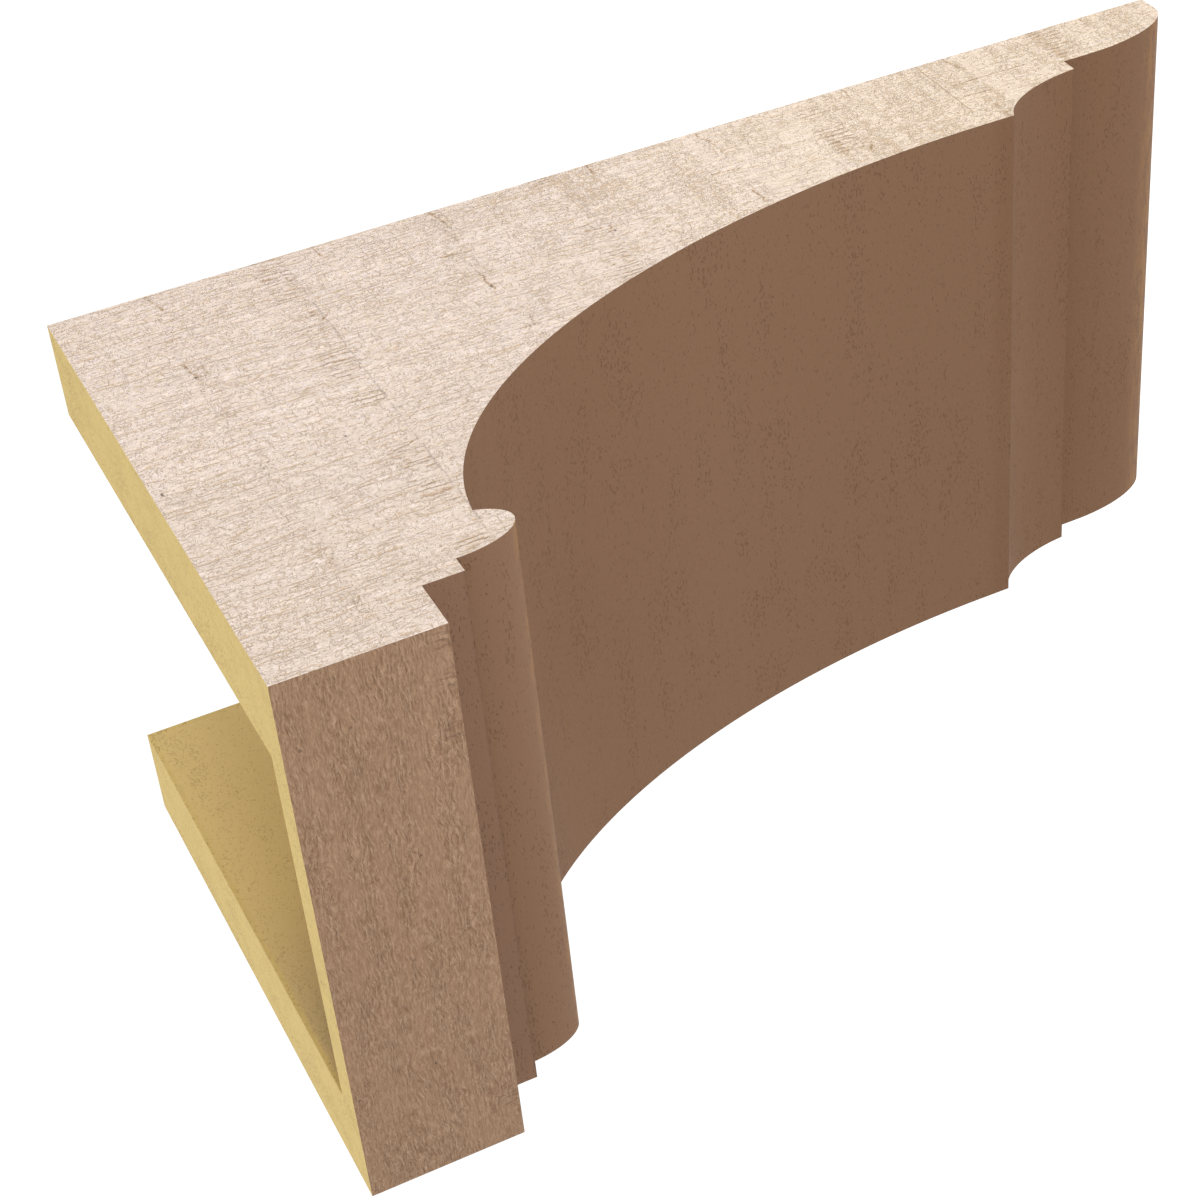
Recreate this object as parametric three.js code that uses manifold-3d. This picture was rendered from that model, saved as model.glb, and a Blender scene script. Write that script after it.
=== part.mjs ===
// A moulded polyurethane corbel, 6 x 6 x 12 inches: two side walls joined by a thin moulded front.
// It is hollow, open at the top and at the back, and solid at the foot.
// Millimetres. +Z is up, the back lies in the plane y = 0, and the corbel juts out towards -Y.
import * as THREE from "three";
import { mergeVertices } from "three/addons/utils/BufferGeometryUtils.js";
import Module from "manifold-3d";

const INCH = 25.4;

// Outer block
const WIDTH = 6 * INCH;
const PROJECTION = 6 * INCH;
const HEIGHT = 12 * INCH;

// Walls
const SIDE_WALL = 1 * INCH;
const FRONT_WALL = 0.375 * INCH;

// Moulding of the front. A projection is measured out from the back, a drop down from the top.
const FASCIA_DROP = 1.5 * INCH;
const FILLET_PROJECTION = 5.4375 * INCH;
const FILLET_DROP = 1.875 * INCH;
const BEAD = { projection: 4.955 * INCH, drop: FILLET_DROP, reach: 0.295 * INCH, fall: 0.64 * INCH };
const COVE = { projection: 4.9 * INCH, drop: 9.19 * INCH, reach: 3.47 * INCH, fall: 6.95 * INCH };
const NECK_PROJECTION = COVE.projection - COVE.reach;
const LOW_COVE = { projection: 1.56 * INCH, drop: 10.71 * INCH, reach: 0.635 * INCH, fall: 1.215 * INCH };
const LOW_COVE_END_DROP = 10.55 * INCH;
const TOE_PROJECTION = 0.735 * INCH;
const TOE = { projection: 0.235 * INCH, drop: 10.86 * INCH, reach: 0.5 * INCH, fall: 1.14 * INCH };

// Hollow
const CAVITY_WIDTH = WIDTH - 2 * SIDE_WALL;
const CAVITY_FLOOR_DROP = 9.25 * INCH;
const CAVITY_OVERRUN = 10; // how far the cutter runs past the open top and the open back

// The origin is the middle of the foot's flat back.
const ORIGIN_DROP = (CAVITY_FLOOR_DROP + HEIGHT) / 2;

const ARC_DIVISIONS = 32;
const CAVITY_ARC_DIVISIONS = 12;
const QUARTER_TURN = Math.PI / 2;

// The angle, counted from straight out, at which an ellipse of the moulding has this drop.
// `side` is 1 for its outer half and -1 for the half nearer to the back.
function angleAtDrop(ellipse, drop, side) {
  const angle = Math.asin((ellipse.drop - drop) / ellipse.fall);
  return side > 0 ? angle : Math.PI - angle;
}

// The angle on the upper half of an ellipse, or its lower half if `side` is -1, at this projection.
function angleAtProjection(ellipse, projection, side) {
  return side * Math.acos((projection - ellipse.projection) / ellipse.reach);
}

function pointAt(ellipse, angle) {
  return {
    projection: ellipse.projection + ellipse.reach * Math.cos(angle),
    drop: ellipse.drop - ellipse.fall * Math.sin(angle),
  };
}

// The angle on the bead at which its underside runs into the big cove.
function whereBeadMeetsCove() {
  let low = -Math.PI;
  let high = -QUARTER_TURN;
  for (let step = 0; step < 40; step += 1) {
    const middle = (low + high) / 2;
    const { projection, drop } = pointAt(BEAD, middle);
    const across = (projection - COVE.projection) / COVE.reach;
    const along = (drop - COVE.drop) / COVE.fall;
    if (across * across + along * along > 1) low = middle;
    else high = middle;
  }
  return (low + high) / 2;
}

// Draws part of an ellipse onto an outline whose x is the projection and whose y is minus the drop.
function addArc(outline, ellipse, from, to) {
  const clockwise = to < from;
  outline.absellipse(ellipse.projection, -ellipse.drop, ellipse.reach, ellipse.fall, from, to, clockwise);
}

function mouldingOutline() {
  const beadEnd = whereBeadMeetsCove();
  const coveStart = angleAtDrop(COVE, pointAt(BEAD, beadEnd).drop, -1);
  const outline = new THREE.Shape();
  outline.moveTo(0, 0);
  outline.lineTo(0, -HEIGHT);
  outline.lineTo(TOE.projection, -HEIGHT);
  addArc(outline, TOE, -QUARTER_TURN, 0);
  outline.lineTo(TOE_PROJECTION, -LOW_COVE_END_DROP);
  addArc(
    outline,
    LOW_COVE,
    angleAtDrop(LOW_COVE, LOW_COVE_END_DROP, -1),
    angleAtProjection(LOW_COVE, NECK_PROJECTION, 1),
  );
  addArc(outline, COVE, Math.PI, coveStart);
  addArc(outline, BEAD, beadEnd, 0);
  outline.lineTo(FILLET_PROJECTION, -FILLET_DROP);
  outline.lineTo(FILLET_PROJECTION, -FASCIA_DROP);
  outline.lineTo(PROJECTION, -FASCIA_DROP);
  outline.lineTo(PROJECTION, 0);
  outline.closePath();
  return outline;
}

// The hollow keeps the front wall's thickness behind the fascia, the bead and the big cove.
function cavityOutline() {
  const innerCove = {
    ...COVE,
    reach: COVE.reach + FRONT_WALL,
    fall: COVE.fall + FRONT_WALL,
  };
  const behindBead = BEAD.projection + BEAD.reach - FRONT_WALL;
  const shelfDrop = FASCIA_DROP - FRONT_WALL;
  const outline = new THREE.Shape();
  outline.moveTo(-CAVITY_OVERRUN, CAVITY_OVERRUN);
  outline.lineTo(-CAVITY_OVERRUN, -CAVITY_FLOOR_DROP);
  outline.lineTo(innerCove.projection - innerCove.reach, -CAVITY_FLOOR_DROP);
  addArc(outline, innerCove, Math.PI, angleAtProjection(innerCove, behindBead, 1));
  outline.lineTo(behindBead, -shelfDrop);
  outline.lineTo(PROJECTION - FRONT_WALL, -shelfDrop);
  outline.lineTo(PROJECTION - FRONT_WALL, CAVITY_OVERRUN);
  outline.closePath();
  return outline;
}

// An outline given a width across X, centred on x = 0 and stood upright in the corbel's frame.
function prism(outline, width, curveSegments) {
  const geometry = new THREE.ExtrudeGeometry(outline, { depth: width, bevelEnabled: false, curveSegments });
  geometry.translate(0, ORIGIN_DROP, -width / 2);
  const upright = new THREE.Matrix4().makeBasis(
    new THREE.Vector3(0, -1, 0),
    new THREE.Vector3(0, 0, 1),
    new THREE.Vector3(-1, 0, 0),
  );
  return geometry.applyMatrix4(upright);
}

const wasm = await Module();
wasm.setup();

function solidFrom(geometry) {
  const bare = geometry.clone();
  bare.deleteAttribute("normal");
  bare.deleteAttribute("uv");
  const merged = mergeVertices(bare, 1e-4);
  const vertProperties = merged.attributes.position.array;
  const triVerts = new Uint32Array(merged.index.array);
  return new wasm.Manifold(new wasm.Mesh({ numProp: 3, vertProperties, triVerts }));
}

function geometryFrom(solid) {
  const { vertProperties, triVerts } = solid.getMesh();
  const geometry = new THREE.BufferGeometry();
  geometry.setAttribute("position", new THREE.BufferAttribute(vertProperties, 3));
  geometry.setIndex(new THREE.BufferAttribute(triVerts, 1));
  geometry.computeVertexNormals();
  return geometry;
}

const tanPaint = new THREE.MeshStandardMaterial({ color: 0xb8977b, roughness: 0.6, metalness: 0 });

function makeCorbel() {
  const block = solidFrom(prism(mouldingOutline(), WIDTH, ARC_DIVISIONS));
  const cavity = solidFrom(prism(cavityOutline(), CAVITY_WIDTH, CAVITY_ARC_DIVISIONS));
  const corbel = new THREE.Mesh(geometryFrom(block.subtract(cavity)), tanPaint);
  corbel.name = "corbel";
  return corbel;
}

const part = new THREE.Group();
part.add(makeCorbel());

export default part;
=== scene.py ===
"""Looks of a moulded polyurethane corbel with a rough-sawn painted skin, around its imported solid."""

import math

import bmesh
import bpy
from bpy.props import FloatProperty, FloatVectorProperty, PointerProperty
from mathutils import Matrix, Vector


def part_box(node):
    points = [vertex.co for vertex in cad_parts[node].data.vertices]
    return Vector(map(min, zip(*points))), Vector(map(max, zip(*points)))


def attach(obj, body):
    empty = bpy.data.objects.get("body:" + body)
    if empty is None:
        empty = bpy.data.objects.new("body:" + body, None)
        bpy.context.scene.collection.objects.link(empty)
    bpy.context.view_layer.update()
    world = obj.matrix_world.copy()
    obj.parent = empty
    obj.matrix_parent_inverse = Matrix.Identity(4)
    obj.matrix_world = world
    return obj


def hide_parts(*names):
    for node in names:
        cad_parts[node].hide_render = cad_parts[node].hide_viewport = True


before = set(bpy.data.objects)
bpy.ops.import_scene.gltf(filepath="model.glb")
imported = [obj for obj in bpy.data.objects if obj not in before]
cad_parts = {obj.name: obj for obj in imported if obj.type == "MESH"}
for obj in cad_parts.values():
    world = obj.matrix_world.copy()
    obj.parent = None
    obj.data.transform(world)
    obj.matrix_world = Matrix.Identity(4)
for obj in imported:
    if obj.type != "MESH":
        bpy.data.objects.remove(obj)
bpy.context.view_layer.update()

bl_info = {
    "name": "Moulded corbel",
    "version": (1, 0, 0),
    "blender": (4, 5, 0),
    "location": "View3D > Sidebar > Corbel",
    "description": "Models a hollow moulded corbel with a rough-sawn skin, and its studio",
    "category": "Add Mesh",
}

INCH = 0.0254
MM = 0.001
LOW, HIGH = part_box("corbel")
WIDTH = HIGH.x - LOW.x
PROJECTION = HIGH.y - LOW.y
HEIGHT = HIGH.z - LOW.z
TOP = HIGH.z

# An edge that runs further than this along X spans the width.
ACROSS = 0.1

# How far a cutter runs past the faces that it cuts through.
BEYOND = 0.4 * INCH

# Faces that meet at more than this angle make a sharp arris, where the relief fades out.
ARRIS_ANGLE = math.radians(25)

# The skins of the casting, in the order of its materials.
SKINS = ("side", "fascia", "moulding", "foam")


def length(name, description, default):
    """A size in metres that a user may change."""
    return FloatProperty(name=name, description=description, default=default, unit="LENGTH", precision=5)


def colour(name, description, default):
    """A linear colour that a user may change."""
    return FloatVectorProperty(
        name=name, description=description, default=default, subtype="COLOR", size=3, min=0, max=1
    )


def share(name, description, default):
    """A plain number from 0 to 1."""
    return FloatProperty(
        name=name, description=description, default=default, subtype="FACTOR", min=0, max=1
    )


def strength(name, description, default, unit="NONE"):
    """How much light something gives."""
    return FloatProperty(name=name, description=description, default=default, unit=unit, min=0)


class CorbelSizes(bpy.types.PropertyGroup):
    """Sizes of the casting. A reach is measured out from the back, a drop down from the top."""

    side_wall: length("Side wall", "Thickness of each side", 1 * INCH)
    front_wall: length("Front wall", "Thickness behind the moulding", 0.375 * INCH)
    fascia_drop: length("Fascia", "Height of the flat band at the top", 1.5 * INCH)
    fillet_reach: length("Fillet reach", "How far the fillet stands out", 5.4375 * INCH)
    fillet_drop: length("Fillet drop", "Where the fillet ends and the bead begins", 1.875 * INCH)
    bead_reach: length("Bead centre", "How far out the middle of the bead lies", 4.955 * INCH)
    bead_half_depth: length("Bead half depth", "Half of the bead's depth", 0.295 * INCH)
    bead_fall: length("Bead fall", "How far the bead hangs below the fillet", 0.64 * INCH)
    cove_reach: length("Cove centre reach", "How far out the cove's centre lies", 4.9 * INCH)
    cove_drop: length("Cove centre drop", "How far down the cove's centre lies", 9.19 * INCH)
    cove_half_depth: length("Cove half depth", "The cove's half axis towards the back", 3.47 * INCH)
    cove_fall: length("Cove rise", "The cove's upright half axis", 6.95 * INCH)
    low_cove_reach: length("Low cove centre reach", "How far out the low cove's centre lies", 1.56 * INCH)
    low_cove_drop: length("Low cove centre drop", "How far down the low cove's centre lies", 10.71 * INCH)
    low_cove_half_depth: length(
        "Low cove half depth", "The low cove's half axis towards the back", 0.635 * INCH
    )
    low_cove_fall: length("Low cove rise", "The low cove's upright half axis", 1.215 * INCH)
    toe_start_drop: length("Toe start", "Where the toe is stepped back", 10.55 * INCH)
    toe_reach: length("Toe reach", "How far the toe stands out", 0.735 * INCH)
    toe_round_reach: length("Toe round reach", "How far out the toe's rounding has its centre", 0.235 * INCH)
    toe_round_drop: length("Toe round drop", "How far down the toe's rounding has its centre", 10.86 * INCH)
    toe_round_fall: length("Toe round fall", "How far the toe's rounding hangs", 1.14 * INCH)
    cavity_floor: length("Hollow's floor", "How far down the hollow goes", 9.25 * INCH)
    skin_room: length("Room for the skin", "How far the faces lie inside the solid", 0.2 * MM)


class CorbelFinish(bpy.types.PropertyGroup):
    """Colours and roughness of the painted skin and the bare foam."""

    # One paint all over: the sides' colour is paler with a painted sheen, and the fascia's and the
    # mouldings' colours are darker with painted shade.
    side_paint_with_sheen: colour("Side paint", "Tan of the rough-sawn sides", (0.672, 0.569, 0.500))
    fascia_paint_in_shade: colour("Fascia paint", "Tan of the flat band in front", (0.234, 0.1375, 0.079))
    moulding_paint_in_shade: colour("Moulding paint", "Brown of the smooth mouldings", (0.1452, 0.0765, 0.0409))
    worn_paint: colour("Worn paint", "Lighter tan of the worn noses", (0.24, 0.125, 0.045))
    foam: colour("Bare foam", "Yellow of the uncoated foam", (0.62, 0.46, 0.165))
    paint_roughness: share("Paint roughness", "Roughness of the painted skin", 0.62)
    foam_roughness: share("Foam roughness", "Roughness of the bare foam", 0.7)


class CorbelStudio(bpy.types.PropertyGroup):
    """Floor, lights and camera."""

    floor_gap: length("Floor gap", "How far the floor lies below the foot", 0.6)
    floor_half_size: length("Floor half size", "Half the side of the floor", 80.0)
    floor_glow: strength("Floor glow", "Strength of the floor's own light", 0.42)
    sky: strength("Sky", "Strength of the even light all round", 0.72)
    key_power: strength("Key light", "Power of the soft light at the front right", 17, unit="POWER")
    top_power: strength("Top light", "Power of the soft light overhead", 9.5, unit="POWER")
    camera_place: FloatVectorProperty(
        name="Camera place", description="Where the camera stands", size=3, unit="LENGTH",
        default=(0.41364, -0.56353, 0.36103),
    )
    camera_turn: FloatVectorProperty(
        name="Camera turn", description="The camera's rotation", size=3, subtype="EULER",
        default=(math.radians(-44.4642), math.radians(62.6705), math.radians(-96.9581)),
    )
    camera_lens: FloatProperty(name="Lens", description="Focal length in millimetres", default=82.44)
    camera_shift: FloatProperty(name="Shift", description="Sideways shift of the frame", default=-0.1)


# Modelling


def deselect_all():
    """Leaves edit mode and clears the selection."""
    active = bpy.context.view_layer.objects.active
    if active is not None and active.mode != "OBJECT":
        bpy.ops.object.mode_set(mode="OBJECT")
    bpy.ops.object.select_all(action="DESELECT")


def select_only(piece):
    """Selects one piece and makes it the active one."""
    deselect_all()
    piece.select_set(True)
    bpy.context.view_layer.objects.active = piece


def finish_primitive(name, size):
    """Names the new primitive, gives it its size and settles its place in its mesh."""
    piece = bpy.context.view_layer.objects.active
    piece.name = name
    piece.scale = size
    bpy.ops.object.transform_apply(location=True, rotation=True, scale=True)
    return piece


def add_bar(name, half_width, reach, drop):
    """A square bar across the width, between two reaches and two drops."""
    deselect_all()
    centre = (0, -(reach[0] + reach[1]) / 2, TOP - (drop[0] + drop[1]) / 2)
    bpy.ops.mesh.primitive_cube_add(size=1, location=centre)
    return finish_primitive(name, (2 * half_width, reach[1] - reach[0], drop[1] - drop[0]))


def add_roller(name, half_width, reach, drop, half_depth, half_height, steps):
    """An oval bar across the width."""
    deselect_all()
    bpy.ops.mesh.primitive_cylinder_add(
        vertices=steps,
        radius=1,
        depth=2 * half_width,
        location=(0, -reach, TOP - drop),
        rotation=(0, math.pi / 2, 0),
    )
    return finish_primitive(name, (half_height, half_depth, 1))


def combine(piece, tool, operation):
    """Joins the tool to the piece or cuts it away, and removes the tool."""
    select_only(piece)
    boolean = piece.modifiers.new(operation, "BOOLEAN")
    boolean.operation = operation
    boolean.solver = "MANIFOLD"
    boolean.object = tool
    bpy.ops.object.modifier_apply(modifier=boolean.name)
    bpy.data.objects.remove(tool)
    if not piece.data.polygons:
        raise RuntimeError(f"The {operation.lower()} left nothing of {piece.name}")
    return piece


def subdivide_edges(piece, cuts_for):
    """Cuts each edge into equal parts. cuts_for gives the number of cuts for an edge, or 0."""
    select_only(piece)
    bpy.ops.object.mode_set(mode="EDIT")
    bpy.ops.mesh.select_mode(type="EDGE")
    mesh = bmesh.from_edit_mesh(piece.data)
    wanted = sorted({cuts_for(edge) for edge in mesh.edges} - {0})
    for cuts in wanted:
        bpy.ops.mesh.select_all(action="DESELECT")
        mesh = bmesh.from_edit_mesh(piece.data)
        for edge in mesh.edges:
            if cuts_for(edge) == cuts:
                edge.select_set(True)
        bmesh.update_edit_mesh(piece.data)
        bpy.ops.mesh.subdivide(number_cuts=cuts)
    bpy.ops.object.mode_set(mode="OBJECT")


def runs_across(edge):
    """True for an edge that spans the width."""
    return abs(edge.verts[0].co.x - edge.verts[1].co.x) > ACROSS


# Into how many steps the faces are cut, and how many sides the round cutters have.
SIDE_STEPS_OUT = 216
SIDE_STEPS_UP = 304
BACK_STEPS_ACROSS = 38
FRONT_STEPS_ACROSS = 80
FASCIA_STEPS_ACROSS = 75
FASCIA_STEPS_UP = 92
COVE_SIDES = 560
LOW_COVE_SIDES = 120
INNER_COVE_SIDES = 240
BEAD_SIDES = 96
TOE_SIDES = 120

# The step along the flats of the outline, and the length up to which an edge there stays whole.
FLAT_STEP = 0.85 * MM
FLAT_SHORTEST = 2.5 * MM

# An edge on the fascia that is longer than this is halved.
FASCIA_LONGEST = 1.5 * MM

# Blender cuts an edge no more than this many times at once.
MOST_CUTS = 100

# How far the top, back and foot lie inside the solid.
SETTLE = 0.02 * MM

# Points closer than this become one.
WELD = 0.02 * MM


def add_block(sizes):
    """The uncut block. Its sides are fine grids, and its front stands a little too far out."""
    deselect_all()
    half = WIDTH / 2 - sizes.skin_room
    depth = PROJECTION + BEYOND
    bpy.ops.mesh.primitive_grid_add(
        x_subdivisions=SIDE_STEPS_UP,
        y_subdivisions=SIDE_STEPS_OUT,
        size=1,
        location=(half, -depth / 2 - SETTLE, TOP - HEIGHT / 2),
        rotation=(0, math.pi / 2, 0),
    )
    block = finish_primitive("corbel_casting", (HEIGHT - 2 * SETTLE, depth, 1))
    bpy.ops.object.mode_set(mode="EDIT")
    bpy.ops.mesh.select_all(action="SELECT")
    bpy.ops.mesh.extrude_region_move(TRANSFORM_OT_translate={"value": (-2 * half, 0, 0)})
    bpy.ops.mesh.select_all(action="SELECT")
    bpy.ops.mesh.normals_make_consistent(inside=False)
    bpy.ops.object.mode_set(mode="OBJECT")
    subdivide_edges(block, lambda edge: (BACK_STEPS_ACROSS - 1) * runs_across(edge))
    return block


def weld(piece):
    """Merges the crowded points that cutting leaves behind."""
    select_only(piece)
    bpy.ops.object.mode_set(mode="EDIT")
    bpy.ops.mesh.select_all(action="SELECT")
    bpy.ops.mesh.remove_doubles(threshold=WELD)
    bpy.ops.object.mode_set(mode="OBJECT")


def paint_all(piece, materials, skin):
    """Gives the piece all the materials, and its faces that of one skin."""
    for name in SKINS:
        piece.data.materials.append(materials[name])
    piece.data.polygons.foreach_set("material_index", [SKINS.index(skin)] * len(piece.data.polygons))
    return piece


def add_offcut(sizes, materials):
    """What is cut away in front: everything outside the moulding's outline."""
    half = WIDTH / 2 + BEYOND
    far = PROJECTION + 2 * BEYOND
    below = HEIGHT + BEYOND
    front = PROJECTION - sizes.skin_room
    offcut = add_bar("offcut", half, (front, far), (-BEYOND, sizes.fascia_drop + BEYOND))

    def on_fascia(edge):
        return all(abs(vert.co.y + front) < SETTLE for vert in edge.verts)

    def cuts_up(edge):
        return FASCIA_STEPS_UP - 1 if on_fascia(edge) and not runs_across(edge) else 0

    def cuts_across(edge):
        return FASCIA_STEPS_ACROSS - 1 if on_fascia(edge) and runs_across(edge) else 0

    def cuts_in_half(edge):
        return 1 if on_fascia(edge) and edge.calc_length() > FASCIA_LONGEST else 0

    for cuts_for in (cuts_up, cuts_across, cuts_in_half):
        subdivide_edges(offcut, cuts_for)
    paint_all(offcut, materials, "fascia")
    steps = [
        (sizes.fillet_reach, sizes.fascia_drop),
        (sizes.bead_reach, sizes.fillet_drop),
        (sizes.cove_reach - sizes.cove_half_depth, sizes.cove_drop),
        (sizes.toe_reach, sizes.toe_start_drop),
        (sizes.toe_round_reach, sizes.toe_round_drop),
    ]
    for reach, drop in steps:
        bar = paint_all(add_bar("step", half, (reach, far), (drop, below)), materials, "moulding")
        combine(offcut, bar, "UNION")
    coves = [
        (sizes.cove_reach, sizes.cove_drop, sizes.cove_half_depth, sizes.cove_fall, COVE_SIDES),
        (
            sizes.low_cove_reach,
            sizes.low_cove_drop,
            sizes.low_cove_half_depth,
            sizes.low_cove_fall,
            LOW_COVE_SIDES,
        ),
    ]
    for reach, drop, half_depth, fall, count in coves:
        roller = add_roller("cove", half, reach, drop, half_depth, fall, count)
        combine(offcut, paint_all(roller, materials, "moulding"), "UNION")
    rounds = [
        (sizes.bead_reach, sizes.fillet_drop, sizes.bead_half_depth, sizes.bead_fall, BEAD_SIDES),
        (
            sizes.toe_round_reach,
            sizes.toe_round_drop,
            sizes.toe_reach - sizes.toe_round_reach,
            sizes.toe_round_fall,
            TOE_SIDES,
        ),
    ]
    for reach, drop, half_depth, fall, count in rounds:
        roller = add_roller("round", half + BEYOND, reach, drop, half_depth, fall, count)
        combine(offcut, paint_all(roller, materials, "moulding"), "DIFFERENCE")

    def cuts_along_outline(edge):
        if runs_across(edge) or min(vert.co.y for vert in edge.verts) < -far + MM:
            return 0
        low, high = sorted(vert.co.z for vert in edge.verts)
        past_the_ends = high > TOP or low < TOP - HEIGHT
        if (past_the_ends and high - low < INCH) or edge.calc_length() <= FLAT_SHORTEST:
            return 0
        return min(MOST_CUTS, round(edge.calc_length() / FLAT_STEP) - 1)

    subdivide_edges(offcut, cuts_along_outline)
    subdivide_edges(offcut, lambda edge: (FRONT_STEPS_ACROSS - 1) * runs_across(edge))
    return offcut


def add_hollow(sizes, materials):
    """What is cut out of the back: the hollow, open at the top and at the back."""
    half = WIDTH / 2 - sizes.side_wall
    behind_bead = sizes.bead_reach + sizes.bead_half_depth - sizes.front_wall
    hollow = add_bar("hollow", half, (-BEYOND, behind_bead), (-BEYOND, sizes.cavity_floor))
    paint_all(hollow, materials, "foam")
    inner_cove = add_roller(
        "inner_cove",
        half + BEYOND,
        sizes.cove_reach,
        sizes.cove_drop,
        sizes.cove_half_depth + sizes.front_wall,
        sizes.cove_fall + sizes.front_wall,
        INNER_COVE_SIDES,
    )
    combine(hollow, paint_all(inner_cove, materials, "foam"), "DIFFERENCE")
    head = add_bar(
        "head",
        half,
        (-BEYOND, PROJECTION - sizes.front_wall),
        (-BEYOND, sizes.fascia_drop - sizes.front_wall),
    )
    combine(hollow, paint_all(head, materials, "foam"), "UNION")
    return hollow


# Node trees


def inches(point):
    """A pair in inches as a vector in metres."""
    return (point[0] * INCH, point[1] * INCH, 0.0)


class Web:
    """A node tree with short calls for the nodes that the relief and the finishes share."""

    def __init__(self, tree):
        """Takes the tree that the nodes are added to."""
        self.tree = tree

    def node(self, kind, **settings):
        """A new node of this kind with these settings."""
        made = self.tree.nodes.new(kind)
        for name, value in settings.items():
            setattr(made, name, value)
        return made

    def feed(self, socket, value):
        """Links a socket to another, or gives it a plain value."""
        if isinstance(value, bpy.types.NodeSocket):
            self.tree.links.new(value, socket)
        elif value is not None:
            socket.default_value = value

    def math(self, operation, first, second=None):
        """One arithmetic step."""
        made = self.node("ShaderNodeMath", operation=operation)
        for socket, value in zip(made.inputs, (first, second)):
            self.feed(socket, value)
        return made.outputs[0]

    def times(self, first, second):
        """The product of two values."""
        return self.math("MULTIPLY", first, second)

    def larger(self, first, second):
        """The larger of two values."""
        return self.math("MAXIMUM", first, second)

    def total(self, *values):
        """The sum of several values."""
        result = values[0]
        for value in values[1:]:
            result = self.math("ADD", result, value)
        return result

    def weigh(self, *parts):
        """The sum of noises, each taken about its middle and times its weight."""
        centred = [(self.math("SUBTRACT", noise, 0.5), weight) for noise, weight in parts]
        return self.total(*[self.times(wave, weight) for wave, weight in centred])

    def vector(self, operation, first, second):
        """One step on vectors. A product or a distance comes out as a plain value."""
        made = self.node("ShaderNodeVectorMath", operation=operation)
        self.feed(made.inputs[0], first)
        self.feed(made.inputs["Scale" if operation == "SCALE" else 1], second)
        return made.outputs["Value" if operation in ("DOT_PRODUCT", "DISTANCE") else 0]

    def part(self, vector, axis):
        """One coordinate of a vector."""
        made = self.node("ShaderNodeSeparateXYZ")
        self.feed(made.inputs[0], vector)
        return made.outputs[axis]

    def pair(self, first, second):
        """A vector of two values."""
        made = self.node("ShaderNodeCombineXYZ")
        self.feed(made.inputs[0], first)
        self.feed(made.inputs[1], second)
        return made.outputs[0]

    def noise_node(self, place, spacing_mm, detail, roughness):
        """A noise with features this far apart, in millimetres along X, Y and Z."""
        made = self.node("ShaderNodeTexNoise", noise_dimensions="3D")
        per_metre = tuple(1 / (size * MM) for size in spacing_mm)
        self.feed(made.inputs["Vector"], self.vector("MULTIPLY", place, per_metre))
        self.feed(made.inputs["Scale"], 1.0)
        self.feed(made.inputs["Detail"], detail)
        self.feed(made.inputs["Roughness"], roughness)
        return made

    def noise(self, place, spacing_mm, detail=2.0, roughness=0.5):
        """A noise's value, about 0.5."""
        return self.noise_node(place, spacing_mm, detail, roughness).outputs[0]

    def shifted(self, vector, place, spacing_mm, amount):
        """The vector moved up to half this far each way by a noise read at a place."""
        cloud = self.noise_node(place, spacing_mm, detail=1.0, roughness=0.5).outputs[1]
        centred = self.vector("SUBTRACT", cloud, (0.5, 0.5, 0.5))
        return self.vector("ADD", vector, self.vector("MULTIPLY", centred, amount))

    def ramp(self, value, start, end, low=0.0, high=1.0, smooth=True):
        """The value carried from one range to another, held at both ends."""
        made = self.node("ShaderNodeMapRange", interpolation_type="SMOOTHSTEP" if smooth else "LINEAR")
        made.clamp = True
        for socket, number in zip(made.inputs, (value, start, end, low, high)):
            self.feed(socket, number)
        return made.outputs[0]

    def fade(self, value, start, end, low=0.0):
        """1 up to the start of a range, falling to a low value at its end."""
        return self.ramp(value, start, end, 1.0, low)

    def level(self, value, height, half_width):
        """1 where a value passes this height, falling to 0 at this distance from it."""
        away = self.math("ABSOLUTE", self.math("SUBTRACT", value, height))
        return self.fade(away, 0.1 * half_width, half_width)

    def furrows(self, distance, spacing_mm, wander, width):
        """1 on thin lines this far apart, counted along a distance and moved by a noise in spacings."""
        count = self.math("ADD", self.math("DIVIDE", distance, spacing_mm * MM), wander)
        return self.fade(self.math("PINGPONG", count, 0.5), 0.0, width)

    def spots(self, vector, points, radius):
        """1 at each of the points, given in inches, falling to 0 at this distance from them."""
        result = 0.0
        for point in points:
            away = self.vector("DISTANCE", vector, inches(point))
            result = self.larger(self.fade(away, 0.2 * radius, radius), result)
        return result

    def scratch(self, vector, start, end, half_width):
        """1 on a straight line between two points, falling to 0 at this distance from it."""
        run = tuple(there - here for here, there in zip(start, end))
        squared = sum(part * part for part in run)
        from_start = self.vector("SUBTRACT", vector, start)
        share_along = self.math("DIVIDE", self.vector("DOT_PRODUCT", from_start, run), squared)
        along = self.vector("SCALE", run, self.ramp(share_along, 0, 1, smooth=False))
        nearest = self.vector("ADD", along, start)
        return self.fade(self.vector("DISTANCE", vector, nearest), 0.0, half_width)

    def scratches(self, vector, lines, half_width):
        """1 on each of the lines, with ends given in inches, falling to 0 at this distance from them."""
        result = 0.0
        for start, end in lines:
            result = self.larger(self.scratch(vector, inches(start), inches(end), half_width), result)
        return result

    def mix(self, factor, first, second):
        """One colour turning into another as the factor goes from 0 to 1."""
        made = self.node("ShaderNodeMix", data_type="RGBA")
        self.feed(made.inputs[0], factor)
        for socket, given in zip(made.inputs[6:8], (first, second)):
            self.feed(socket, given if isinstance(given, bpy.types.NodeSocket) else (*given, 1))
        return made.outputs[2]


# The marks across the sides recur at this distance down from the top.
GRAIN_PERIOD = 72.8 * MM

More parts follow.
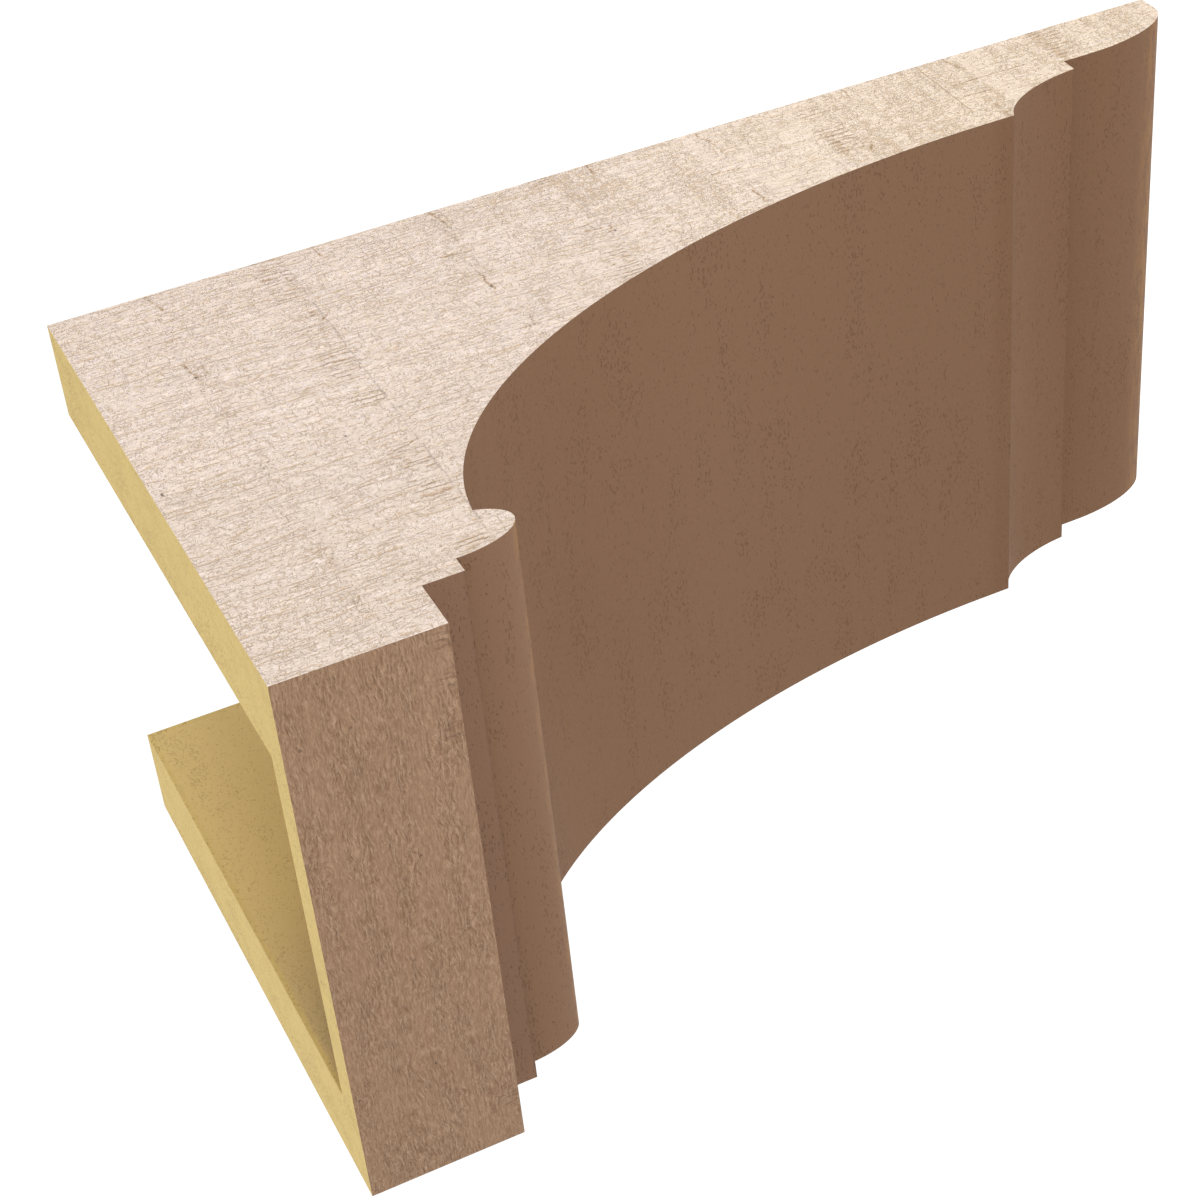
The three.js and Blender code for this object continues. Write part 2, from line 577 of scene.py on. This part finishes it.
# Where a band of marks starts, is full, wanes and ends in each period, and where a thin line lies, in mm.
SPLIT_BAND = (21.0, 23.0, 25.5, 27.5)
TORN_BAND = (48.0, 51.0, 56.5, 57.6)
CROSS_LINE = 57.3
LINE_HALF_WIDTH = (0.05 * MM, 0.45 * MM)

# Marks on the sides, in inches down from the top and out from the back. The scratches recur too.
SCRATCHES = (
    ((0.93, 0.03), (1.00, 0.36)),
    ((0.70, 0.87), (1.00, 0.89)),
    ((2.60, 0.00), (2.61, 0.20)),
    ((1.92, 3.59), (2.28, 3.50)),
    ((2.24, 1.27), (2.32, 1.15)),
    ((0.89, 1.33), (0.92, 1.62)),
    ((1.98, 1.12), (2.22, 1.14)),
)
CRACKS = (((9.217, -0.1), (9.217, 1.12)), ((9.33, 0.573), (10.2, 0.575)))
SIDE_PITS = ((0.10, 3.10), (1.74, 3.10), (0.90, 1.60), (3.77, 1.58), (5.18, 1.27))
SCRATCH_HALF_WIDTH = 0.5 * MM
CRACK_HALF_WIDTH = 0.4 * MM
SIDE_PIT_RADIUS = 0.65 * MM

# Marks on the fascia, in inches from its right-hand end and down from the top.
FASCIA_PITS = ((0.73, 0.15), (0.68, 0.58), (2.25, 0.97), (3.37, 0.76), (4.67, 0.79), (4.75, 0.06))
FASCIA_STAINS = ((0.15, 1.45), (0.55, 1.48), (1.1, 1.38), (5.45, 1.4))
FASCIA_PIT_RADIUS = 0.6 * MM
STAIN_RADIUS = 5.5 * MM

# Ranges down from the top over which a side changes.
LOWER_PART = (3 * INCH, 9.5 * INCH)
BANDS_BEGIN = (2 * INCH, 5 * INCH)
BANDS_WANE = (7 * INCH, 9 * INCH)
LINE_WANES = (3 * INCH, 5 * INCH)

# Ranges down from the top over which the mouldings change.
FILLET_HEAD = (1.5 * INCH, 1.53 * INCH)
FILLET_FOOT = (1.86 * INCH, 1.89 * INCH)
BEAD_NOSE = (2.40 * INCH, 2.5 * INCH)
BEAD_FOOT = (2.5 * INCH, 2.6 * INCH)
COVE_HEAD = (3.8 * INCH, 6 * INCH)
COVE_FOOT = (9.2 * INCH, 9.4 * INCH)
TOE_NOSE = (11.55 * INCH, 11.85 * INCH)
STEP_SHADOW_HALF_WIDTH = 0.8 * MM

# Ranges out from the back over which a side darkens as painted shade, the mouldings change and the hollow
# darkens as painted shade.
FRONT_PART = (1.6 * INCH, 4.8 * INCH)
BEAD_BACK = (4.6 * INCH, 4.7 * INCH)
HOLLOW_DEPTH = (2.5 * INCH, 5 * INCH)

# How far in from the top and the back the rims turn into the hollow.
RIM_DEPTH = (0.5 * MM, 2 * MM)


def sawn_sway(web, place):
    """The place on a side, moved so that straight grain wanders and wobbles."""
    wandered = web.shifted(place, place, (40, 18, 45), (0, 5 * MM, 0))
    return wandered, web.shifted(wandered, place, (40, 2.2, 3.0), (0, 1.5 * MM, 2.0 * MM))


def side_waves(web, place):
    """Height of the ridges of a sawn side that are wide enough to model, about 0."""
    wandered, swayed = sawn_sway(web, place)
    ridges = web.noise(swayed, (50, 1.15, 3.4), roughness=0.55)
    lines = web.noise(wandered, (50, 1.5, 50), detail=1.0)
    swells = web.noise(place, (50, 12, 14), detail=1.0)
    return web.weigh((ridges, 1.2), (lines, 0.9), (swells, 0.6))


def fascia_sway(web, place):
    """The place on the fascia, moved so that its ridges wander and wobble."""
    wandered = web.shifted(place, place, (30, 40, 12), (0, 0, 4 * MM))
    return wandered, web.shifted(wandered, place, (3.4, 40, 2.6), (1.2 * MM, 0, 1.6 * MM))


def fascia_roughness(web, place):
    """How much of the fascia's relief stands in each of its rough and smooth patches."""
    return web.ramp(web.noise(place, (20, 50, 5), detail=1.5), 0.35, 0.62, 0.65, 1.15)


def fascia_waves(web, place):
    """Height of the short ridges of the fascia that are wide enough to model, about 0."""
    wandered, swayed = fascia_sway(web, place)
    ridges = web.noise(swayed, (3.0, 50, 0.95), detail=1.0)
    lines = web.noise(wandered, (40, 50, 2.2), detail=1.0)
    return web.times(web.weigh((ridges, 1.4), (lines, 0.5)), fascia_roughness(web, place))


# How high the relief stands in the mesh for each unit of its waves, and how much of the room it may fill.
RELIEF = {"side": 0.42 * MM, "fascia": 0.28 * MM, "moulding": 0.06 * MM}
ROOM_USED = 0.95

# How high the finer bump of each skin stands, and how strongly the skin reflects.
BUMP = {"side": 0.23 * MM, "fascia": 0.25 * MM, "moulding": 0.12 * MM, "foam": 0.08 * MM}
SPECULAR = {"side": 0.35, "fascia": 0.3, "moulding": 0.1, "foam": 0.3}


def relief_tree(sizes):
    """Geometry nodes that raise the skin's relief and fade it out at the arrises."""
    tree = bpy.data.node_groups.new("skin_relief", "GeometryNodeTree")
    tree.interface.new_socket("Geometry", in_out="INPUT", socket_type="NodeSocketGeometry")
    tree.interface.new_socket("Geometry", in_out="OUTPUT", socket_type="NodeSocketGeometry")
    web = Web(tree)
    start = web.node("NodeGroupInput")
    end = web.node("NodeGroupOutput")
    place = web.node("GeometryNodeInputPosition").outputs[0]
    normal = web.node("GeometryNodeInputNormal").outputs[0]
    index = web.node("GeometryNodeInputMaterialIndex").outputs[0]

    def on_skin(waves, skin):
        same = web.node("FunctionNodeCompare", data_type="INT", operation="EQUAL")
        web.feed(same.inputs[2], index)
        web.feed(same.inputs[3], SKINS.index(skin))
        on_faces = web.node("GeometryNodeFieldOnDomain", data_type="FLOAT", domain="FACE")
        web.feed(on_faces.inputs[0], same.outputs[0])
        return web.times(web.times(waves, RELIEF[skin]), on_faces.outputs[0])

    angle = web.node("GeometryNodeInputMeshEdgeAngle").outputs[0]
    on_points = web.node("GeometryNodeFieldOnDomain", data_type="FLOAT", domain="POINT")
    web.feed(on_points.inputs[0], web.math("GREATER_THAN", angle, ARRIS_ANGLE))
    arris = web.math("GREATER_THAN", on_points.outputs[0], 0.01)
    blurred = web.node("GeometryNodeBlurAttribute", data_type="FLOAT")
    web.feed(blurred.inputs[0], arris)
    web.feed(blurred.inputs[1], 2)
    away_from_arris = web.times(web.fade(blurred.outputs[0], 0.02, 0.45), web.math("SUBTRACT", 1.0, arris))

    soft = web.noise(place, (18, 6, 6))
    height = web.total(
        on_skin(side_waves(web, place), "side"),
        on_skin(fascia_waves(web, place), "fascia"),
        on_skin(web.math("SUBTRACT", soft, 0.5), "moulding"),
    )
    kept = web.math("MINIMUM", web.times(height, away_from_arris), ROOM_USED * sizes.skin_room)
    offset = web.node("ShaderNodeVectorMath", operation="SCALE")
    web.feed(offset.inputs[0], normal)
    web.feed(offset.inputs["Scale"], kept)
    moved = web.node("GeometryNodeSetPosition")
    web.feed(moved.inputs["Geometry"], start.outputs[0])
    web.feed(moved.inputs["Offset"], offset.outputs[0])
    web.feed(end.inputs[0], moved.outputs[0])
    return tree


def raise_relief(casting, sizes):
    """Raises the relief in the mesh itself."""
    select_only(casting)
    modifier = casting.modifiers.new("relief", "NODES")
    modifier.node_group = relief_tree(sizes)
    bpy.ops.object.modifier_apply(modifier=modifier.name)


# Finishes


def new_finish(name, roughness, specular):
    """A material with its node web, its shader and the place on the piece."""
    material = bpy.data.materials.new(name)
    material.use_nodes = True
    web = Web(material.node_tree)
    shader = material.node_tree.nodes["Principled BSDF"]
    shader.inputs["Roughness"].default_value = roughness
    shader.inputs["Specular IOR Level"].default_value = specular
    place = web.node("ShaderNodeTexCoord").outputs["Object"]
    return material, web, shader, place


def add_bump(web, shader, height, distance):
    """Fine relief below the mesh's own."""
    bump = web.node("ShaderNodeBump")
    web.feed(bump.inputs["Strength"], 1.0)
    web.feed(bump.inputs["Distance"], distance)
    web.feed(bump.inputs["Height"], height)
    web.feed(shader.inputs["Normal"], bump.outputs[0])


def band(web, along, edges_mm):
    """1 between the two middle edges and 0 outside the outer ones."""
    outer, inner, far_inner, far_outer = (edge * MM for edge in edges_mm)
    return web.times(web.ramp(along, outer, inner), web.fade(along, far_inner, far_outer))


def tinted(paint, tint):
    """A paint with its three parts multiplied."""
    return tuple(min(1.0, part * factor) for part, factor in zip(paint, tint))


def coated(web, paint, base, *coats):
    """The base colour under coats of the tinted paint, each given by where it lies and its tint."""
    for cover, tint in coats:
        base = web.mix(cover, base, tinted(paint, tint))
    return base


def drop_of(web, place):
    """How far down from the top a place lies."""
    return web.math("SUBTRACT", TOP, web.part(place, "Z"))


def reach_of(web, place):
    """How far out from the back a place lies."""
    return web.times(web.part(place, "Y"), -1.0)


def saw_marks(web, place, swayed):
    """The marks on a side: bands of splits and torn fibres, the thin line, scratches and pits."""
    drop = drop_of(web, place)
    wave = web.noise(place, (50, 5, 60), detail=3.0, roughness=0.7)
    along = web.math("MODULO", web.total(drop, web.weigh((wave, 2.6 * MM))), GRAIN_PERIOD)
    gaps = web.noise(place, (50, 11, 40), detail=1.5)
    splits = web.times(band(web, along, SPLIT_BAND), web.ramp(gaps, 0.62, 0.46))
    torn = web.times(band(web, along, TORN_BAND), web.ramp(gaps, 0.44, 0.54))
    away = web.math("ABSOLUTE", web.math("SUBTRACT", along, CROSS_LINE * MM))
    broken = web.ramp(web.noise(place, (50, 2.5, 30)), 0.40, 0.58, 0.3, 1.0)
    line = web.times(web.fade(away, *LINE_HALF_WIDTH), broken)
    line = web.times(line, web.fade(drop, *LINE_WANES, 0.5))

    sway_drop = drop_of(web, swayed)
    sway_reach = reach_of(web, swayed)
    recurring = web.pair(web.math("MODULO", sway_drop, GRAIN_PERIOD), sway_reach)
    crumbled = web.noise(place, (50, 0.9, 0.9), roughness=0.6)
    scratches = web.scratches(recurring, SCRATCHES, SCRATCH_HALF_WIDTH)
    scratches = web.times(scratches, web.ramp(crumbled, 0.36, 0.56, 0.15, 1.0))
    cracks = web.scratches(web.pair(drop, reach_of(web, place)), CRACKS, CRACK_HALF_WIDTH)
    scratches = web.larger(web.times(cracks, 0.75), scratches)
    pits = web.spots(web.pair(sway_drop, sway_reach), SIDE_PITS, SIDE_PIT_RADIUS)
    return splits, torn, line, scratches, pits


def side_finish(finish):
    """Rough-sawn tan paint, paler with a painted sheen: broken wavy grain with painted sheen on its ridges
    and painted shade in its hollows, torn and split bands across it, scratches and pits, and the front part
    darker as painted shade.
    """
    material, web, shader, place = new_finish("side_paint_with_sheen", finish.paint_roughness, SPECULAR["side"])
    wandered, swayed = sawn_sway(web, place)
    splits, torn, line, scratches, pits = saw_marks(web, place, swayed)
    drop = drop_of(web, place)
    lower = web.ramp(drop, *LOWER_PART)
    patches = web.noise(place, (50, 7, 8))
    grain = web.noise(swayed, (50, 0.32, 0.38), roughness=0.7)
    ridges = web.noise(swayed, (50, 0.55, 1.5), roughness=0.6)
    lines = web.noise(wandered, (50, 1.25, 60), detail=1.0)
    bars = web.noise(place, (50, 45, 2.6))
    barred = web.times(web.weigh((bars, 0.2)), lower)
    bands = web.noise(place, (50, 70, 11), roughness=0.55)
    banded = web.times(web.weigh((bands, 0.26)), web.ramp(drop, *BANDS_BEGIN))
    banded = web.times(banded, web.fade(drop, *BANDS_WANE, 0.4))

    # Long furrows along the grain, broken into pieces, and closer ones where the fibres are torn.
    drift = web.weigh(
        (web.noise(place, (50, 3.0, 9.0), detail=1.0), 1.8),
        (web.noise(place, (50, 0.6, 0.9), roughness=0.6), 0.7),
    )
    distance = web.part(wandered, "Y")
    pieces = web.noise(place, (50, 1.3, 6), roughness=0.6)
    pieces = web.total(pieces, web.weigh((patches, 0.2), (lines, -0.3), (bars, 0.25)))
    furrows = web.times(web.furrows(distance, 1.45, drift, 0.15), web.ramp(pieces, 0.44, 0.60))
    frayed = web.ramp(web.noise(place, (50, 1.6, 3.5), roughness=0.7), 0.38, 0.52)
    tears = web.furrows(distance, 1.7, web.times(drift, 0.8), 0.24)
    tears = web.times(tears, web.times(torn, frayed))

    # Short strokes along the grain and nicks across it, which crowd together in patches, bars and bands.
    crowding = web.weigh((patches, 0.11), (bars, 0.08))
    crowding = web.total(crowding, barred, banded, web.times(lower, 0.03))
    strokes = web.total(web.noise(swayed, (50, 0.36, 1.2), roughness=0.6), crowding)
    nicks = web.total(web.noise(swayed, (50, 1.0, 0.38), roughness=0.6), crowding)
    fine = web.larger(web.ramp(strokes, 0.58, 0.69), web.ramp(nicks, 0.59, 0.70))
    across = web.ramp(web.noise(swayed, (50, 1.4, 0.55), roughness=0.6), 0.52, 0.66)
    deep = web.larger(web.times(fine, 0.8), web.times(furrows, web.fade(lower, 0, 1, 0.6)))
    dark = web.larger(web.times(web.times(across, splits), 0.6), tears)

    hue = web.noise(place, (50, 1.0, 1.4), detail=3.0, roughness=0.7)
    surface = web.weigh((grain, 1.2), (ridges, 0.3), (lines, 0.35), (bars, 0.25))
    surface = web.total(surface, web.times(barred, -0.6), web.times(banded, -0.25))
    paint = finish.side_paint_with_sheen
    base = coated(
        web,
        paint,
        tinted(paint, (0.99, 0.955, 0.865)),
        (web.ramp(hue, 0.35, 0.65), (0.99, 0.985, 1.025)),
        (web.times(lower, 0.75), (1.125, 1.09, 0.925)),
        # The front part of each side is darker: painted shade.
        (web.ramp(reach_of(web, place), *FRONT_PART), (0.89, 0.87, 0.83)),
        # The grain is paler on its ridges as painted sheen and darker in its hollows as painted shade.
        (web.ramp(surface, 0.0, 0.3, smooth=False), (1.085, 1.10, 1.155)),
        (web.ramp(surface, 0.0, -0.3, smooth=False), (0.85, 0.78, 0.68)),
        # Furrows, strokes, nicks, tears and splits are sawn marks, darkened as painted shade in their
        # hollows.
        (web.times(deep, web.ramp(lower, 0, 1, 0.58, 0.66)), (0.70, 0.51, 0.24)),
        (web.times(dark, 0.72), (0.45, 0.30, 0.15)),
        (web.times(line, 0.5), (0.45, 0.42, 0.4)),
        (web.times(scratches, 0.8), (0.45, 0.29, 0.12)),
        # Pits nearly black: painted shade in the holes.
        (web.times(pits, 0.85), (0.15, 0.12, 0.09)),
    )
    web.feed(shader.inputs["Base Color"], base)
    height = web.weigh((grain, 1.4), (ridges, 1.0), (lines, 0.8), (bars, 0.5))
    height = web.total(height, web.times(deep, -0.9), web.times(dark, -0.8))
    add_bump(web, shader, height, BUMP["side"])
    return material


def fascia_finish(finish):
    """The same paint on the fascia, darker with painted shade: fine wavy ridges across the width, paler on
    their crests as painted highlight and darker between them as painted shade, in rough and smooth patches.
    """
    material, web, shader, place = new_finish("fascia_paint_in_shade", finish.paint_roughness, SPECULAR["fascia"])
    wandered, swayed = fascia_sway(web, place)
    ridges = web.noise(swayed, (3.0, 50, 0.55), roughness=0.65)
    grain = web.noise(swayed, (0.9, 50, 0.34), roughness=0.6)
    lines = web.noise(wandered, (18, 50, 0.9), detail=1.0)
    bars = web.noise(place, (4.5, 50, 60), detail=1.0)
    rough = fascia_roughness(web, place)
    surface = web.times(web.weigh((ridges, 1.6), (grain, 0.8), (lines, 0.35)), rough)
    surface = web.total(surface, web.weigh((bars, 0.08)))
    from_right = web.math("SUBTRACT", WIDTH / 2, web.part(place, "X"))
    flat = web.pair(from_right, drop_of(web, place))
    pits = web.spots(flat, FASCIA_PITS, FASCIA_PIT_RADIUS)
    streaks = web.ramp(web.noise(place, (0.9, 50, 3.0), roughness=0.6), 0.5, 0.66)
    stains = web.times(web.spots(flat, FASCIA_STAINS, STAIN_RADIUS), streaks)

    tone = web.noise(place, (60, 50, 30))
    paint = finish.fascia_paint_in_shade
    base = coated(
        web,
        paint,
        paint,
        (web.ramp(tone, 0.3, 0.7), (0.96, 0.95, 0.94)),
        # Ridges paler on their crests as painted highlight and darker between them as painted shade.
        (web.ramp(surface, 0.0, 0.32, smooth=False), (1.30, 1.42, 1.54)),
        (web.ramp(surface, 0.0, -0.32, smooth=False), (0.74, 0.655, 0.60)),
        (web.times(stains, 0.6), (0.5, 0.42, 0.42)),
        # Pits darker: painted shade in the holes.
        (web.times(pits, 0.7), (0.3, 0.25, 0.25)),
    )
    web.feed(shader.inputs["Base Color"], base)
    height = web.times(web.weigh((grain, 1.0), (ridges, 2.4)), rough)
    add_bump(web, shader, web.total(height, web.times(stains, -0.4)), BUMP["fascia"])
    return material


def moulding_finish(finish, sizes):
    """Smoother brown paint on the mouldings, darker with painted shade: faint rows of specks, painted
    shadows under the fillet and over the toe, faces tinted with painted sheen and shade, and worn noses.
    """
    material, web, shader, place = new_finish("moulding_paint_in_shade", finish.paint_roughness, SPECULAR["moulding"])
    drop = drop_of(web, place)
    in_front = web.ramp(reach_of(web, place), *BEAD_BACK)
    rows = web.noise(place, (60, 6, 6), detail=1.5)
    clusters = web.noise(place, (16, 9, 9))
    specked = web.times(web.ramp(rows, 0.42, 0.6), web.ramp(clusters, 0.38, 0.58))
    specks = web.noise(place, (1.2, 0.55, 0.55), detail=1.5)
    marks = web.ramp(web.total(specks, web.times(specked, 0.09)), 0.63, 0.76)
    grain = web.noise(place, (1.0, 0.5, 0.5), roughness=0.6)
    rubbed = web.ramp(web.noise(place, (7, 2, 2), detail=2.5, roughness=0.6), 0.38, 0.62, 0.1, 1.0)
    noses = web.larger(web.times(web.ramp(drop, *BEAD_NOSE), in_front), web.ramp(drop, *TOE_NOSE))
    under_fillet = web.level(drop, sizes.fillet_drop, STEP_SHADOW_HALF_WIDTH)
    over_toe = web.level(drop, sizes.toe_start_drop, STEP_SHADOW_HALF_WIDTH)
    uneven = web.ramp(web.noise(place, (2.5, 1, 1)), 0.4, 0.6, 0.3, 1.0)
    step_shadows = web.times(web.larger(under_fillet, over_toe), uneven)
    bead = web.times(web.fade(drop, *BEAD_FOOT), in_front)
    cove = web.times(web.ramp(drop, *COVE_HEAD), web.fade(drop, *COVE_FOOT))
    fillet = web.fade(drop, *FILLET_FOOT)
    fillet_face = web.times(fillet, web.ramp(drop, *FILLET_HEAD))

    tone = web.noise(place, (80, 40, 40))
    paint = finish.moulding_paint_in_shade
    base = coated(
        web,
        paint,
        paint,
        (web.ramp(tone, 0.3, 0.7), (0.96, 0.95, 0.94)),
        # Each face of the mouldings is tinted apart by how it meets the light: painted sheen and shade.
        (bead, (1.08, 1.12, 1.20)),
        (cove, (1.05, 1.075, 1.11)),
        (fillet, (0.98, 1.06, 1.22)),
        (fillet_face, (1.14, 1.21, 1.39)),
        (web.times(web.ramp(grain, 0.5, 0.75), 0.5), (1.15, 1.16, 1.18)),
        (web.times(marks, 0.4), (0.58, 0.5, 0.44)),
        # Painted shadows along the steps under the fillet and over the toe.
        (web.times(step_shadows, 0.35), (0.6, 0.56, 0.52)),
    )
    base = web.mix(web.times(web.times(rubbed, noses), 0.55), base, finish.worn_paint)
    web.feed(shader.inputs["Base Color"], base)
    height = web.total(web.weigh((grain, 0.7)), web.times(marks, -0.8))
    add_bump(web, shader, height, BUMP["moulding"])
    return material


def foam_finish(finish):
    """Bare yellow foam with soft mottling, fine specks and rows of darker ones, darker deeper in the hollow
    as painted shade.
    """
    material, web, shader, place = new_finish("bare_foam", finish.foam_roughness, SPECULAR["foam"])
    clouds = web.noise(place, (7, 7, 7), detail=2.5)
    streaks = web.noise(place, (1.0, 5, 1.0))
    grain = web.noise(place, (0.5, 0.9, 0.5), roughness=0.7)
    specks = web.noise(place, (0.5, 0.65, 0.5), detail=1.5)
    rows = web.noise(place, (30, 40, 6), detail=1.5)
    clusters = web.noise(place, (9, 14, 5), detail=1.5)
    specked = web.times(web.ramp(rows, 0.42, 0.58), web.ramp(clusters, 0.4, 0.56))
    marks = web.ramp(web.total(specks, web.times(specked, 0.08)), 0.62, 0.72)
    reach = reach_of(web, place)
    inside = web.ramp(web.math("MINIMUM", drop_of(web, place), reach), *RIM_DEPTH)
    # Darker deeper in the hollow: painted shade.
    deep = web.times(inside, web.ramp(reach, *HOLLOW_DEPTH))

    base = coated(
        web,
        finish.foam,
        finish.foam,
        (web.ramp(clouds, 0.42, 0.7, 0.0, 0.25), (0.78, 0.76, 0.8)),
        (web.ramp(streaks, 0.5, 0.75, 0.0, 0.3), (0.74, 0.68, 0.6)),
        (web.ramp(grain, 0.5, 0.75, 0.0, 0.35), (0.74, 0.66, 0.55)),
        (inside, (1.02, 1.01, 1.12)),
        (deep, (0.85, 0.84, 1.11)),
        (web.times(marks, web.ramp(inside, 0, 1, 0.5, 0.28)), (0.48, 0.40, 0.36)),
    )
    web.feed(shader.inputs["Base Color"], base)
    height = web.total(web.weigh((grain, 0.6)), web.times(marks, -1.0))
    add_bump(web, shader, height, BUMP["foam"])
    return material


# Operators


class CORBEL_OT_casting(bpy.types.Operator):
    """Model the casting: cut the moulding and the hollow from a block, then raise the sawn skin."""

    bl_idname = "corbel.casting"
    bl_label = "Corbel casting"

    def execute(self, context):
        sizes = context.scene.corbel_sizes
        finish = context.scene.corbel_finish
        materials = {
            "side": side_finish(finish),
            "fascia": fascia_finish(finish),
            "moulding": moulding_finish(finish, sizes),
            "foam": foam_finish(finish),
        }
        casting = paint_all(add_block(sizes), materials, "foam")
        for face in casting.data.polygons:
            if abs(face.normal.x) > 0.5:
                face.material_index = SKINS.index("side")
        combine(casting, add_offcut(sizes, materials), "DIFFERENCE")
        combine(casting, add_hollow(sizes, materials), "DIFFERENCE")
        weld(casting)
        select_only(casting)
        bpy.ops.object.shade_smooth_by_angle(angle=ARRIS_ANGLE)
        raise_relief(casting, sizes)
        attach(casting, "root")
        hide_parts("corbel")
        return {"FINISHED"}


# Places and sizes of the two soft lights, in metres.
KEY_PLACE = (1.15, -1.1, 0.2)
KEY_SIZE = 0.6
TOP_LIGHT_PLACE = (-0.3, -0.1, 1.7)
TOP_LIGHT_SIZE = 0.8


def add_softbox(name, place, aim, size, power):
    """A square soft light that faces a point."""
    light = bpy.data.lights.new(name, "AREA")
    light.shape = "SQUARE"
    light.size = size
    light.energy = power
    lamp = bpy.data.objects.new(name, light)
    bpy.context.scene.collection.objects.link(lamp)
    lamp.location = place
    lamp.rotation_euler = (Vector(aim) - Vector(place)).to_track_quat("-Z", "Y").to_euler()


class CORBEL_OT_studio(bpy.types.Operator):
    """Set up the pale floor, the soft lights and the camera."""

    bl_idname = "corbel.studio"
    bl_label = "Studio"

    def execute(self, context):
        studio = context.scene.corbel_studio
        deselect_all()
        floor_level = LOW.z - studio.floor_gap
        bpy.ops.mesh.primitive_plane_add(size=2, location=(0, 0, floor_level))
        floor = finish_primitive("studio_floor", (studio.floor_half_size, studio.floor_half_size, 1))
        paper = bpy.data.materials.new("studio_paper")
        paper.use_nodes = True
        shader = paper.node_tree.nodes["Principled BSDF"]
        shader.inputs["Base Color"].default_value = (0.9, 0.9, 0.9, 1)
        shader.inputs["Roughness"].default_value = 1.0
        shader.inputs["Specular IOR Level"].default_value = 0.0
        shader.inputs["Emission Color"].default_value = (1, 1, 1, 1)
        shader.inputs["Emission Strength"].default_value = studio.floor_glow
        floor.data.materials.append(paper)

        world = bpy.data.worlds.new("studio_sky")
        world.use_nodes = True
        world.node_tree.nodes["Background"].inputs[0].default_value = (1, 1, 1, 1)
        world.node_tree.nodes["Background"].inputs[1].default_value = studio.sky
        context.scene.world = world
        context.scene.view_settings.view_transform = "Standard"

        aim = (0, -PROJECTION / 2, TOP - HEIGHT / 2)
        add_softbox("key_softbox", KEY_PLACE, aim, KEY_SIZE, studio.key_power)
        add_softbox("top_softbox", TOP_LIGHT_PLACE, aim, TOP_LIGHT_SIZE, studio.top_power)

        camera = bpy.data.cameras.new("camera")
        camera.lens = studio.camera_lens
        camera.sensor_width = 36
        camera.sensor_fit = "HORIZONTAL"
        camera.shift_x = studio.camera_shift
        camera.clip_start = 0.01
        viewer = bpy.data.objects.new("camera", camera)
        viewer.location = studio.camera_place
        viewer.rotation_euler = studio.camera_turn
        context.scene.collection.objects.link(viewer)
        context.scene.camera = viewer
        return {"FINISHED"}


class CORBEL_PT_panel(bpy.types.Panel):
    """Corbel tools in the 3D view's sidebar."""

    bl_label = "Corbel"
    bl_idname = "CORBEL_PT_panel"
    bl_space_type = "VIEW_3D"
    bl_region_type = "UI"
    bl_category = "Corbel"

    def draw(self, context):
        for operator in OPERATORS:
            self.layout.operator(operator.bl_idname)


GROUPS = {"corbel_sizes": CorbelSizes, "corbel_finish": CorbelFinish, "corbel_studio": CorbelStudio}
OPERATORS = (CORBEL_OT_casting, CORBEL_OT_studio)


def register():
    """Makes the groups, operators and panel known to Blender."""
    for name, group in GROUPS.items():
        bpy.utils.register_class(group)
        setattr(bpy.types.Scene, name, PointerProperty(type=group))
    for operator in OPERATORS:
        bpy.utils.register_class(operator)
    bpy.utils.register_class(CORBEL_PT_panel)


def unregister():
    """Takes them out again."""
    bpy.utils.unregister_class(CORBEL_PT_panel)
    for operator in reversed(OPERATORS):
        bpy.utils.unregister_class(operator)
    for name, group in GROUPS.items():
        delattr(bpy.types.Scene, name)
        bpy.utils.unregister_class(group)


def main():
    """Builds the corbel and its studio."""
    register()
    bpy.ops.corbel.casting()
    bpy.ops.corbel.studio()


if __name__ == "__main__":
    main()
